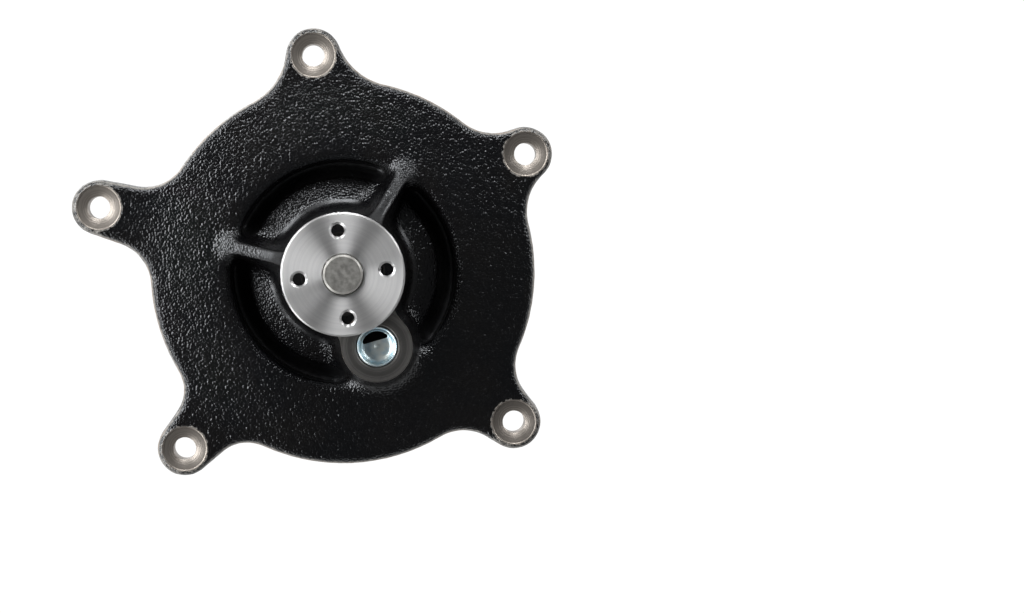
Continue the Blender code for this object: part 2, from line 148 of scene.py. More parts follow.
# Bores
BEARING_R = 19.05
SEAL_R = 18.25
GAP = 0.3  # kept between pieces that would touch
PLUG_R = 9.85
VENT_ANGLE = 106.0
VENT_R = 7.5
VENT_CHORD = 2.7
VENT_CORNER = 1.0

# Rotor
SHAFT_R = 9.525
SHAFT_ENDS = (-31.5, 67.5)
BALL_R = 3.4
BALL_ORBIT_R = 12.55
BALL_ROW = 42.0
BALLS = 8
ROLLERS = 10
HUB_R = 29.7
HUB_FACES = (58.0, 66.0)
HUB_END = 53.0  # of the neck behind the disc
HUB_EDGE = 0.85
NECK_R = 15.0
NECK_FILLET = 1.5
HUB_BOLTS = 4
HUB_BOLT_CIRCLE_R = 21.1
HUB_BOLT_ANGLE = 6.5
TAPPED_R = 3.1
TAPPED_CHAMFER_R = 4.2
THREAD_R = TAPPED_R + 0.65
THREAD_PITCH = 1.25
IMPELLER_R = 50.0
DISC_FACES = (-12.0, -7.5)
VANES = 7
VANE_INNER_R = 22.5
VANE_OUTER_R = 49.3
VANE_HALF_WIDTH = 1.7
VANE_SWEEP = 46.0
VANE_TIP = -30.0  # height of a vane's edge at its inner end
VANE_TIP_RISE = 5.0  # from there to its outer end
VANE_ROOT = 2.6  # fillet
VANE_ROUND = 0.8

# Studio
CAMERA_DISTANCE = 1.414
CAMERA_TILT = math.radians(1.2)
CAMERA_SIDE = 0.008
CAMERA_TARGET = (0.0843, 0.0, -0.0176)
CAMERA_LENS = 99.27
SKY_FADE = (-0.85, -0.1, 0.0, 0.95)  # Y of the direction at the dark and the light end, and the glow there
SKY_CURVE = 3.0
SKY_LEAST = 0.1
BACKDROP = 1.05  # strength of the white that the camera sees
FLOOR_REACH = 6.0
FLOOR_DROP = 0.0005
LIGHTS = (
    # name, azimuth, off axis, distance, size, power
    ("key", 163.0, 60.0, 1.3, (0.45, 1.5), 27.0),
    ("top", 88.0, 60.0, 1.3, (0.6, 0.4), 12.0),
    ("left", 222.0, 76.0, 1.3, (0.5, 0.45), 6.0),
    ("right", 32.0, 74.0, 1.4, (0.5, 0.45), 6.0),
    ("back", 130.0, 140.0, 1.5, (0.8, 0.8), 6.0),
)


# ---------------------------------------------------------------- outlines and fields


def polar(radius, degrees):
    turn = math.radians(degrees)
    return radius * math.cos(turn), radius * math.sin(turn)


def arc(centre, radius, start, end, steps):
    """Points on an arc, angles in degrees, both ends included."""
    turns = [math.radians(start + (end - start) * i / steps) for i in range(steps + 1)]
    return [(centre[0] + radius * math.cos(t), centre[1] + radius * math.sin(t)) for t in turns]


def casting_outline():
    """The body circle with a round lug at each bolt. Each lug widens inwards between two straight flanks,
    which run into the circle by hollow fillets."""
    shapes = []
    for angle, distance, fillet, taper in LUGS:
        lean = 90.0 - taper
        away = distance * math.cos(math.radians(lean)) + LUG_R + fillet
        along = math.sqrt((BODY_R + fillet) ** 2 - away**2)
        shapes.append((angle, distance, fillet, lean, lean - math.degrees(math.atan2(along, away))))
    points = []
    for (angle, distance, fillet, lean, spread), after in zip(shapes, shapes[1:] + shapes[:1]):
        first, second = polar(BODY_R + fillet, angle - spread), polar(BODY_R + fillet, angle + spread)
        points += arc(first, fillet, angle - spread + 180.0, angle - lean + 180.0, 16)
        points += arc(polar(distance, angle), LUG_R, angle - lean, angle + lean, 32)
        points += arc(second, fillet, angle + lean + 180.0, angle + spread + 180.0, 16)
        start, end = angle + spread, after[0] - after[4]
        points += arc((0.0, 0.0), BODY_R, start, start + (end - start) % 360.0, 16)[1:-1]
    return points


def outline_distance(px, py, outline):
    """Signed distance to a closed outline, negative inside."""
    distance = np.full(px.shape, np.inf)
    inside = np.zeros(px.shape, bool)
    for (ax, ay), (bx, by) in zip(outline, outline[1:] + outline[:1]):
        ex, ey = bx - ax, by - ay
        wx, wy = px - ax, py - ay
        t = np.clip((wx * ex + wy * ey) / (ex * ex + ey * ey), 0.0, 1.0)
        distance = np.minimum(distance, np.hypot(wx - ex * t, wy - ey * t))
        if ey:
            inside ^= ((ay > py) != (by > py)) & (wx < ex * wy / ey)
    return np.where(inside, -distance, distance)


def join(a, b, blend):
    """The union of two fields with a fillet where they meet."""
    h = np.clip(0.5 + 0.5 * (b - a) / blend, 0.0, 1.0)
    return b + (a - b) * h - blend * h * (1.0 - h)


def meet(a, b, rounding):
    """The intersection of two fields with its edge rounded off."""
    a, b = a + rounding, b + rounding
    outside = np.hypot(np.maximum(a, 0.0), np.maximum(b, 0.0))
    return outside + np.minimum(np.maximum(a, b), 0.0) - rounding


def sample(field, places):
    """The field's value between its grid points, at places given in grid steps."""
    lowest = [np.clip(np.floor(p).astype(int), 0, n - 2) for p, n in zip(places, field.shape)]
    part = [np.clip(p - low, 0.0, 1.0) for p, low in zip(places, lowest)]
    total = 0.0
    for corner in range(2 ** len(places)):
        index, weight = [], 1.0
        for axis, (low, t) in enumerate(zip(lowest, part)):
            upper = corner >> axis & 1
            index.append(low + upper)
            weight = weight * (t if upper else 1.0 - t)
        total = total + weight * field[tuple(index)]
    return total


def ramp(value, start, width):
    """Rises from 0 to 1 over that width."""
    return np.clip((value - start) / width, 0.0, 1.0)


def noise(points, size, seed, period=32):
    """Smooth noise from -1 to 1 with lumps of about that size, the same on every run."""
    table = np.random.default_rng(seed).uniform(-1.0, 1.0, (period, period, period))
    places = points / size
    cell = np.floor(places).astype(int)
    t = places - cell
    t = t * t * (3.0 - 2.0 * t)
    total = 0.0
    for corner in range(8):
        offset = [corner >> axis & 1 for axis in range(3)]
        shares = [t[:, axis] if up else 1.0 - t[:, axis] for axis, up in enumerate(offset)]
        index = (cell + offset) % period
        total = total + np.prod(shares, axis=0) * table[index[:, 0], index[:, 1], index[:, 2]]
    return total


def grid(low, high, cell):
    """Grid lines in x, z and height, shaped so that they spread out against each other."""
    lines = [np.arange(a, b + cell, cell) for a, b in zip(low, high)]
    return lines[0][:, None, None], lines[1][None, :, None], lines[2][None, None, :]


def turned_field(outline, radius, height, low):
    """The distance to a solid of revolution, read from a table of its half section."""
    table_r, table_h = np.meshgrid(
        np.arange(0.0, 150.0, TABLE_STEP),
        np.arange(low[2], height.max() + TABLE_STEP, TABLE_STEP),
        indexing="ij",
    )
    section = outline_distance(table_r, table_h, outline)
    return sample(section, (radius / TABLE_STEP + 0 * height, (height - low[2]) / TABLE_STEP + 0 * radius))


def surface_net(field):
    """Points (in grid steps) and outward quads of the field's zero surface."""
    inside = field < 0.0
    count = 0
    for corner in range(8):
        part = inside
        for axis in range(3):
            start = corner >> axis & 1
            part = part.take(range(start, start + inside.shape[axis] - 1), axis)
        count = count + part.astype(np.int8)
    cells = np.argwhere((count > 0) & (count < 8))
    number = np.full(count.shape, -1, np.int32)
    number[tuple(cells.T)] = np.arange(len(cells))
    total, hits = np.zeros(cells.shape), np.zeros(len(cells))
    for axis in range(3):
        step = np.eye(3, dtype=int)[axis]
        for side in range(4):
            corner = np.insert([side & 1, side >> 1], axis, 0)
            near, far = cells + corner, cells + corner + step
            a, b = field[tuple(near.T)], field[tuple(far.T)]
            crossed = (a < 0.0) != (b < 0.0)
            t = np.where(crossed, a / np.where(crossed, a - b, 1.0), 0.0)
            total += crossed[:, None] * (corner + t[:, None] * step)
            hits += crossed
    points = cells + total / hits[:, None]
    quads = []
    for axis in range(3):
        low = inside.take(range(inside.shape[axis] - 1), axis)
        high = inside.take(range(1, inside.shape[axis]), axis)
        edges = np.argwhere(low != high)
        edges = edges[(np.delete(edges, axis, 1) > 0).all(1)]
        u, v = (np.eye(3, dtype=int)[(axis + 1) % 3], np.eye(3, dtype=int)[(axis + 2) % 3])
        ring = [number[tuple((edges - a * u - b * v).T)] for a, b in ((1, 1), (0, 1), (0, 0), (1, 0))]
        quad = np.stack(ring, 1)
        leaving = low[tuple(edges.T)]
        quads.append(np.where(leaving[:, None], quad, quad[:, ::-1]))
    return points, np.concatenate(quads)


# ---------------------------------------------------------------- meshes


def add_object(name, mesh):
    obj = bpy.data.objects.new(name, mesh)
    bpy.context.scene.collection.objects.link(obj)
    return obj


def mesh_of_field(name, field, low, cell):
    """An object on the field's zero surface. Points go (x, z, height) in mm to (x, -height, z) in m."""
    points, quads = surface_net(field)
    slope = np.gradient(field)
    for _ in range(2):
        places = points.T
        value = sample(field, places)
        direction = np.stack([sample(g, places) for g in slope], 1)
        points = points - direction * (value / np.maximum((direction**2).sum(1), 1e-6))[:, None]
    points = points * cell + low
    mesh = bpy.data.meshes.new(name)
    turned = np.stack([points[:, 0], -points[:, 2], points[:, 1]], 1) * MM
    mesh.from_pydata(turned.tolist(), [], quads.tolist())
    mesh.validate()
    return add_object(name, mesh)


def vectors(items, name):
    """That vector of every point or face, one a row."""
    flat = np.empty(len(items) * 3, np.float32)
    items.foreach_get(name, flat)
    return flat.reshape(-1, 3)


def coordinates(mesh):
    """The mesh's points in mm, as x, z and height."""
    return vectors(mesh.vertices, "co")[:, (0, 2, 1)] * np.array((1.0, 1.0, -1.0)) / MM


def store(mesh, name, kind, domain, values):
    """Keeps a value for each point or face, for the material to read."""
    made = mesh.attributes.new(name, kind, domain)
    field = "vector" if kind == "FLOAT_VECTOR" else "value"
    made.data.foreach_set(field, np.ravel(values).astype(np.float32))


def dress(obj, *finishes):
    for finish in finishes:
        obj.data.materials.append(finish)


def smooth(obj, degrees):
    obj.data.shade_smooth()
    obj.data.set_sharp_from_angle(angle=math.radians(degrees))


def solid(name, points, faces):
    """An object with its faces turned outwards."""
    mesh = bpy.data.meshes.new(name)
    mesh.from_pydata(points, [], faces)
    shape = bmesh.new()
    shape.from_mesh(mesh)
    bmesh.ops.recalc_face_normals(shape, faces=shape.faces)
    shape.to_mesh(mesh)
    shape.free()
    return add_object(name, mesh)


def lathe(name, outline, steps=FINE, place=(0.0, 0.0)):
    """A solid turned about the shaft's direction through a place in the pump's face. An outline that
    starts on the axis ends there, and any other is closed into a ring."""
    turns = np.arange(steps) * 2.0 * math.pi / steps
    points, rows = [], []
    for radius, height in outline:
        around = turns if radius > 0.0 else turns[:1]
        rows.append([len(points) + i % len(around) for i in range(steps)])
        for t in around:
            x, z = place[0] + radius * math.cos(t), place[1] + radius * math.sin(t)
            points.append((x * MM, -height * MM, z * MM))
    pairs = list(zip(rows, rows[1:]))
    if outline[0][0] > 0.0:
        pairs.append((rows[-1], rows[0]))
    faces = []
    for near, far in pairs:
        for i in range(steps):
            j = (i + 1) % steps
            faces.append(tuple(dict.fromkeys((near[i], near[j], far[j], far[i]))))
    return solid(name, points, faces)


def prism(name, outline, low, high):
    """A straight block with that outline between two heights."""
    count = len(outline)
    points = [(x * MM, -h * MM, z * MM) for h in (low, high) for x, z in outline]
    faces = [tuple(range(count)), tuple(range(2 * count - 1, count - 1, -1))]
    faces += [(i, i + count, (i + 1) % count + count, (i + 1) % count) for i in range(count)]
    return solid(name, points, faces)


def turned_round(outline, degrees):
    """The outline turned about the origin."""
    c, s = polar(1.0, degrees)
    return [(u * c - v * s, u * s + v * c) for u, v in outline]


def cut(target, tool, operation="DIFFERENCE"):
    """Cuts with a tool, applies the cut and throws the tool away."""
    step = target.modifiers.new("cut", "BOOLEAN")
    step.operation = operation
    step.solver = "MANIFOLD"
    step.object = tool
    bpy.context.view_layer.update()
    graph = bpy.context.evaluated_depsgraph_get()
    result = bpy.data.meshes.new_from_object(
        target.evaluated_get(graph), preserve_all_data_layers=True, depsgraph=graph
    )
    target.modifiers.clear()
    old, target.data = target.data, result
    bpy.data.meshes.remove(old)
    bpy.data.objects.remove(tool)


# ---------------------------------------------------------------- materials


class Surface:
    """A material, with short calls for the nodes behind its Principled shader."""

    def __init__(self, name, metallic=0.0, **constants):
        self.material = bpy.data.materials.new(name)
        self.material.use_nodes = True
        self.tree = self.material.node_tree
        self.shader = self.tree.nodes["Principled BSDF"]
        self.shader.inputs["Metallic"].default_value = metallic
        for socket, value in constants.items():
            self.shader.inputs[socket.replace("_", " ")].default_value = value

    def put(self, value, socket):
        if isinstance(value, bpy.types.NodeSocket):
            self.tree.links.new(value, socket)
        elif isinstance(value, tuple) and socket.type == "RGBA":
            socket.default_value = (*value, 1.0)
        else:
            socket.default_value = value

    def set(self, socket, value):
        self.put(value, self.shader.inputs[socket])

    def node(self, kind, inputs, output=0, **settings):
        made = self.tree.nodes.new("ShaderNode" + kind)
        for name, value in settings.items():
            setattr(made, name, value)
        for key, value in inputs.items():
            self.put(value, made.inputs[key])
        return made.outputs[output]

    def place(self):
        return self.node("TexCoord", {}, "Object")

    def attribute(self, name, output="Fac"):
        return self.node("Attribute", {}, output, attribute_name=name)

    def math(self, operation, a, b=0.0):
        return self.node("Math", {0: a, 1: b}, operation=operation)

    def vector(self, operation, a, b=(0.0, 0.0, 0.0), output="Vector"):
        return self.node("VectorMath", {0: a, 1: b}, output, operation=operation)

    def noise(self, size, detail=2.0, roughness=0.5, stretch=(1.0, 1.0, 1.0)):
        """Cloudy values round a half, with lumps of that size in mm."""
        where = self.vector("MULTIPLY", self.place(), stretch)
        inputs = {"Vector": where, "Scale": 1.0 / (size * MM), "Detail": detail, "Roughness": roughness}
        return self.node("TexNoise", inputs)

    def span(self, value, low, high, new_low=0.0, new_high=1.0):
        """Takes low to high smoothly to new_low to new_high, and stops there."""
        inputs = {0: value, 1: low, 2: high, 3: new_low, 4: new_high}
        return self.node("MapRange", inputs, interpolation_type="SMOOTHSTEP")

    def mix(self, share, a, b):
        return self.node("Mix", {0: share, 6: a, 7: b}, 2, data_type="RGBA")

    def relief(self, height, depth, strength=1.0):
        """Bumps of that depth in mm."""
        inputs = {"Height": height, "Distance": depth * MM, "Strength": strength}
        self.set("Normal", self.node("Bump", inputs))

    def from_tool(self):
        """Offset and distance in metres from the axis a face was turned about."""
        offset = self.vector("SUBTRACT", self.place(), self.attribute("tool_centre", "Vector"))
        flat = self.vector("MULTIPLY", offset, (1.0, 0.0, 1.0))
        return flat, self.vector("LENGTH", flat, output="Value")

    def rings(self, distance, size, detail=3.0):
        """Noise that only changes with the distance from the tool's axis, as a cutter leaves it."""
        inputs = {"W": distance, "Scale": 1.0 / (size * MM), "Detail": detail}
        return self.node("TexNoise", inputs, noise_dimensions="1D")


def turned(name, dark, light, roughness, anisotropic, ring, depth, metallic=1.0, stain=0.35):
    """Metal faced on a lathe: fine rings about the tool's axis, and a sheen that spreads across them."""
    s = Surface(name, metallic, Anisotropic=anisotropic)
    flat, distance = s.from_tool()
    fine, broad = s.rings(distance, ring), s.rings(distance, ring * 7.0, 1.0)
    cloud = s.noise(7.0, 4.0, 0.6)
    tone = s.math("ADD", s.math("MULTIPLY", fine, 0.4), s.math("MULTIPLY", broad, 0.6))
    stains = s.math("MULTIPLY", s.span(cloud, 0.42, 0.72), stain)
    shade = s.math("SUBTRACT", s.span(tone, 0.35, 0.62), stains)
    s.set("Base Color", s.mix(s.span(shade, 0.0, 1.0), dark, light))
    rubbed = s.math("ADD", tone, s.math("MULTIPLY", cloud, 0.5))
    s.set("Roughness", s.span(rubbed, 0.5, 1.0, *roughness))
    across = s.vector("NORMALIZE", flat)
    s.set("Tangent", s.node("VectorTransform", {0: across}, convert_from="OBJECT", convert_to="WORLD"))
    s.relief(fine, depth)
    return s.material


def mottled(name, dark, light, roughness, metallic=0.0, cloud=5.0, grain=0.8, depth=0.03, **constants):
    """A surface with soft clouds of colour and gloss, and a fine grain."""
    s = Surface(name, metallic, **constants)
    clouds, fine = s.noise(cloud, 4.0, 0.6), s.noise(grain, 3.0)
    s.set("Base Color", s.mix(s.span(clouds, 0.32, 0.68), dark, light))
    s.set("Roughness", s.span(clouds, 0.3, 0.7, *roughness))
    s.relief(s.math("ADD", fine, s.math("MULTIPLY", clouds, 0.5)), depth)
    return s.material


def black_paint():
    """Gloss paint over a sand-cast skin of rounded grains. It is rubbed off the edges down to bare iron,
    and a highlight is painted in the bare-iron colour round the boss face's edge.
    """
    s = Surface("black_paint", 0.0, Specular_Tint=(0.93, 0.96, 1.0, 1.0))
    cast, wear_and_edge_highlight = s.attribute("cast"), s.attribute("wear_and_edge_highlight")
    grain, cloud = s.noise(2.6, 2.0, 0.5), s.noise(24.0, 3.0, 0.6)
    inputs = {"Vector": s.place(), "Scale": 1.0 / (PEBBLE * MM), "Smoothness": 0.2}
    pebble = s.node("TexVoronoi", inputs, feature="SMOOTH_F1")
    worn_and_highlit = s.span(s.math("ADD", wear_and_edge_highlight, s.math("MULTIPLY", grain, 0.7)), 0.8, 1.2)
    base = s.mix(s.span(cloud, 0.3, 0.7), (0.0012, 0.0013, 0.0018), (0.0028, 0.0024, 0.0024))
    tips = s.mix(s.span(pebble, 0.05, 0.3), (0.006, 0.0058, 0.006), base)
    # bare-iron colour for the rubbed edges; it also paints a highlight round the boss face's edge, where a
    # chamfer would catch the light
    bare = s.mix(s.span(wear_and_edge_highlight, 0.8, 1.0), (0.20, 0.19, 0.175), (0.20, 0.14, 0.10))
    s.set("Base Color", s.mix(worn_and_highlit, tips, bare))
    gloss = s.span(s.noise(2.2, 3.0), 0.3, 0.7, 0.16, 0.27)
    matte = s.math("ADD", s.math("MULTIPLY", worn_and_highlit, 0.25), s.span(cast, 0.0, 1.0, 0.1, 0.0))
    deep = s.math("MULTIPLY", s.attribute("deep"), 0.15)
    s.set("Roughness", s.math("ADD", s.math("ADD", gloss, matte), deep))
    height = s.math("SUBTRACT", s.math("MULTIPLY", grain, 0.4), s.math("MULTIPLY", pebble, pebble))
    s.relief(height, PEBBLE_DEPTH, s.span(cast, 0.0, 1.0, 0.04, 1.0))
    return s.material


def raw_iron(name, dark, light):
    """Iron as it came from the mould, with a little rust in its pores."""
    s = Surface(name, 0.7)
    grain, cloud, spots = s.noise(1.4, 4.0, 0.6), s.noise(16.0, 4.0, 0.65), s.noise(7.0, 5.0, 0.7)
    skin = s.mix(s.span(cloud, 0.3, 0.7), dark, light)
    rust = s.math("MULTIPLY", s.span(spots, 0.54, 0.74), 0.5)
    s.set("Base Color", s.mix(rust, skin, (0.15, 0.07, 0.035)))
    s.set("Roughness", s.span(grain, 0.3, 0.7, 0.46, 0.68))
    s.relief(grain, 0.32)
    return s.material


def zinc_plate():
    """Bright plating with the blue and straw tints that passivation leaves."""
    s = Surface("zinc_plate", 1.0)
    cloud, fine = s.noise(5.0, 3.0, 0.5), s.noise(0.6, 3.0)
    s.set("Base Color", s.mix(s.span(cloud, 0.3, 0.7), (0.48, 0.66, 0.76), (0.84, 0.90, 0.88)))
    s.set("Roughness", s.span(fine, 0.3, 0.7, 0.4, 0.48))
    s.relief(s.math("ADD", fine, s.math("MULTIPLY", cloud, 0.5)), 0.015)
    return s.material


# ---------------------------------------------------------------- casting

PAINT, SPOT_FACE, BOSS_FACE, RAW_IRON = range(4)


def core_outline():
    """The casting's turned middle before boring: tower, bell, channel, dome, relief and platform."""
    channel_r = DOME_LIP[0] - DOME_LIP_ROUND
    corner = (channel_r - CHANNEL_CORNER, CHANNEL_FLOOR + CHANNEL_CORNER)
    front = [(0.0, TOWER_TOP), (TOWER_R - 1.0, TOWER_TOP), (TOWER_R, TOWER_TOP - 1.0)]
    front += arc(FOOT_CENTRE, FOOT_ROUND, 191.0, 270.0 - BELL_TILT, 16)
    front += [BELL_EDGE, (50.6, 4.4)] + arc(corner, CHANNEL_CORNER, 270.0, 360.0, 5)
    front += arc(DOME_LIP, DOME_LIP_ROUND, 180.0, 90.0, 8)
    front += [point for point in DOME if point[0] < CORE_R]
    rear = [(CORE_R, 1.0), (78.5, 1.0), (76.2, 7.5), (73.2, 10.5), (64.5, 11.0)]
    rear += [(57.5, PLATFORM + 1.5), (56.0, PLATFORM), (0.0, PLATFORM)]
    return front + rear


def rib_field(x, z, h, angle):
    """A gusset with drafted sides and a rounded ridge, from the tower down to the dome."""
    c, s = polar(1.0, angle)
    along, across = x * c + z * s, abs(z * c - x * s)
    top = np.minimum(RIB_TOP - RIB_SLOPE * (along - RIB_START), RIB_TOP)
    side = (across - RIB_HALF_WIDTH - (top - h) * math.tan(RIB_DRAFT)) * math.cos(RIB_DRAFT)
    inner, outer = RIB_REACH
    rib = meet(side, (h - top) * 0.8, 1.3)
    rib = meet(rib, np.maximum(along - outer, inner - along), 3.0)
    return np.maximum(rib, RIB_BOTTOM - h)


def boss_field(x, z, h):
    """The weep reservoir's boss, a little taller than its machined face."""
    bx, bz = polar(BOSS_DISTANCE, BOSS_ANGLE)
    side = np.hypot(x - bx, z - bz) - BOSS_R - (BOSS_TOP - h) * math.tan(BOSS_DRAFT)
    return np.maximum(side * math.cos(BOSS_DRAFT), np.maximum(h - BOSS_TOP - BOSS_STOCK, 1.0 - h))


def casting_field(low, high, cell):
    """The whole casting before machining, as a field of signed distances."""
    x, z, h = grid(low, high, cell)
    radius = np.hypot(x, z)
    rim = outline_distance(*np.broadcast_arrays(x[:, :, 0], z[:, :, 0]), casting_outline())[:, :, None]
    front = h - np.interp(radius, *zip(*DOME))
    plate = meet(rim + (h - PARTING) * RIM_DRAFT, np.maximum(front, -REAR_STOCK - h), RIM_EDGE)
    body = np.minimum(turned_field(core_outline(), radius, h, low), np.maximum(plate, PLATE_R - radius))
    for angle in RIB_ANGLES:
        body = join(body, rib_field(x, z, h, angle), RIB_BLEND)
    return join(body, boss_field(x, z, h), BOSS_BLEND)


def bore_tools():
    """Everything that is machined into the casting, one tool after another, with its finish."""
    bearing_r, seal_r = BEARING_R + GAP, SEAL_R + GAP
    bore = [(0.0, -12.0), (24.0, -12.0), (24.0, -2.0), (seal_r + 0.4, -2.0), (seal_r, -1.6), (seal_r, 8.0)]
    bore += [(16.5, 8.0), (16.5, 12.7), (bearing_r, 12.7), (bearing_r, TOWER_TOP - 0.8)]
    bore += [(bearing_r + 2.8, TOWER_TOP + 2.0), (0.0, TOWER_TOP + 2.0)]
    yield BOSS_FACE, lathe("bore", bore)
    face = [(PLATE_R, -12.0), (190.0, -12.0), (190.0, 0.0), (PLATE_R, 0.0)]
    yield SPOT_FACE, lathe("mounting_face", face, 64)
    inner, outer = GROOVE_R
    groove = [(inner - 0.4, -1.0), (outer + 0.4, -1.0), (outer + 0.4, 0.0), (outer, 0.4)]
    groove += [(outer, GROOVE_DEPTH), (inner, GROOVE_DEPTH), (inner, 0.4), (inner - 0.4, 0.0)]
    yield SPOT_FACE, lathe("groove", groove)
    for angle, distance, _, _ in LUGS:
        seat = [(0.0, -4.0), (BOLT_HOLE_R + 4.5, -4.0), (BOLT_HOLE_R + 0.5, 0.0), (BOLT_HOLE_R, 0.5)]
        seat += [(BOLT_HOLE_R, BOLT_SEAT - 0.35), (BOLT_HOLE_R + 0.35, BOLT_SEAT)]
        seat += arc((BOLT_SEAT_R - 0.9, BOLT_SEAT + SEAT_DISH + 0.9), 0.9, 270.0, 360.0, 6)
        seat += [(BOLT_SEAT_R + 0.1, 30.0), (0.0, 30.0)]
        yield SPOT_FACE, lathe("seat", seat, SMALL, polar(distance, angle))
    pocket_r = PLUG_R + GAP
    pocket = [(0.0, 7.0), (pocket_r - 1.5, 7.0), (pocket_r, 8.5), (pocket_r, BOSS_TOP - 0.75)]
    pocket += [(pocket_r + 0.75, BOSS_TOP), (26.0, BOSS_TOP), (26.0, BOSS_TOP + 9.0), (0.0, BOSS_TOP + 9.0)]
    yield BOSS_FACE, lathe("pocket", pocket, SMALL, polar(BOSS_DISTANCE, BOSS_ANGLE))


def cast_skin(points, wall_blend, least_on_ribs=0.0):
    """1 where the skin is sand-cast, fading to 0 on the smooth tower, boss and ribs."""
    x, z, h = points.T
    skin = ramp(np.hypot(x, z), SMOOTH_R, wall_blend) * ramp(boss_field(x, z, h), 0.6, 1.5)
    for angle in RIB_ANGLES:
        skin *= np.maximum(ramp(rib_field(x, z, h, angle), 0.2, 1.2), least_on_ribs)
    return skin


def roughen(mesh):
    """Sinks soft lumps into the sand-cast skin, before anything is machined."""
    points = coordinates(mesh)
    broad, fine = LUMPS
    lumps = 0.6 * noise(points, broad, 11) + 0.4 * noise(points, fine, 12) - 0.75
    push = cast_skin(points, 2.0) * lumps * LUMP_DEPTH * MM
    moved = vectors(mesh.vertices, "co") + vectors(mesh.vertex_normals, "vector") * push[:, None]
    mesh.vertices.foreach_set("co", moved.ravel().astype(np.float32))
    mesh.update()


def mark_skin(mesh, points):
    """Marks where the skin is sand-cast, and how deep in the channel the paint pooled over it."""
    x, z, h = points.T
    radius = np.hypot(x, z)
    outer_ribs = np.maximum(ramp(radius, *RIB_GRAIN), 0.12)
    deep = ramp(radius, BELL_EDGE[0], 1.5) * (radius < POOL_R) * ramp(POOL_TOP, h, 4.0)
    store(mesh, "cast", "FLOAT", "POINT", cast_skin(points, 1.2, outer_ribs) * (1.0 - 0.9 * deep))
    store(mesh, "deep", "FLOAT", "POINT", deep)


def mark_wear_and_edge_highlight(mesh, points):
    """Marks where the paint is rubbed off, on the rim's edges and round each bolt seat, and paints a
    highlight round the edge of the boss's face.
    """
    x, z, h = points.T
    rim = outline_distance(x, z, casting_outline())
    ragged = noise(points, RAGGED, 13)
    front_edge = ramp(rim, -EDGE_BAND, 2.2) * ramp(h, EDGE_WEAR + ragged, 1.8)
    base_line = (rim > -3.0) * ramp(BASE_WEAR + 2.0 * ragged, h, 1.8)
    wear_and_edge_highlight = np.maximum(front_edge, base_line)
    for angle, distance, _, _ in LUGS:
        sx, sz = polar(distance, angle)
        wear_and_edge_highlight = np.maximum(wear_and_edge_highlight, 1.0 - abs(np.hypot(x - sx, z - sz) - BOLT_SEAT_R - 0.3) / 0.9)
    bx, bz = polar(BOSS_DISTANCE, BOSS_ANGLE)
    on_boss = np.hypot(x - bx, z - bz) < BOSS_R + 1.0
    # painted highlight: a light ring in the bare-iron colour round the top of the boss, standing in for a
    # chamfer on the face's edge that would catch the light
    wear_and_edge_highlight = np.maximum(wear_and_edge_highlight, on_boss * ramp(h, BOSS_TOP - 0.9, 0.9))
    store(mesh, "wear_and_edge_highlight", "FLOAT", "POINT", wear_and_edge_highlight)


def mark_faces(mesh):
    """Leaves the hollow behind the casting unpainted, and gives each turned face its tool's axis."""
    finish = np.empty(len(mesh.polygons), np.int32)
    mesh.polygons.foreach_get("material_index", finish)
    x, y, z = vectors(mesh.polygons, "center").T / MM
    cavity_r, cavity_h = CAVITY
    facing_back = vectors(mesh.polygons, "normal")[:, 1] > 0.25
    finish[(finish == PAINT) & facing_back & (y > -cavity_h) & (np.hypot(x, z) < cavity_r)] = RAW_IRON
    mesh.polygons.foreach_set("material_index", finish)

    tools = [(angle, distance, SEAT_REACH) for angle, distance, _, _ in LUGS]
    tools.append((BOSS_ANGLE, BOSS_DISTANCE, POCKET_REACH))
    centre = np.zeros((len(finish), 3))
    for angle, distance, reach in tools:
        sx, sz = polar(distance, angle)
        centre[(np.hypot(x - sx, z - sz) < reach) & (y < -1.0)] = (sx * MM, 0.0, sz * MM)
    store(mesh, "tool_centre", "FLOAT_VECTOR", "FACE", centre)


def casting(finishes):
    cell = CASTING_CELL
    low, high = CASTING_BOX
    obj = mesh_of_field("casting", casting_field(low, high, cell), low, cell)
    roughen(obj.data)
    dress(obj, *finishes)
    for finish, tool in bore_tools():
        dress(tool, *finishes)
        tool.data.polygons.foreach_set("material_index", np.full(len(tool.data.polygons), finish, np.int32))
        cut(obj, tool)
    points = coordinates(obj.data)
    mark_skin(obj.data, points)
    mark_wear_and_edge_highlight(obj.data, points)
    mark_faces(obj.data)
    smooth(obj, 40.0)
    return stand_for(obj, "casting", "housing")


# ---------------------------------------------------------------- smaller pieces


def stand_for(obj, body, node):
    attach(obj, body)
    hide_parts(node)
    return obj


def tapped_hole(front, depth, end):
    """A drill's outline with a chamfer at the front and the thread's ridges down to a depth."""
    turn = front - (TAPPED_CHAMFER_R - TAPPED_R)
    outline = [(0.0, front + 1.0), (TAPPED_CHAMFER_R + 1.0, front + 1.0), (TAPPED_R, turn)]
    while turn > depth + THREAD_PITCH:
        outline += [(THREAD_R, turn - 0.5 * THREAD_PITCH), (TAPPED_R, turn - THREAD_PITCH)]
        turn -= THREAD_PITCH
    return outline + [(TAPPED_R, end), (0.0, end)]


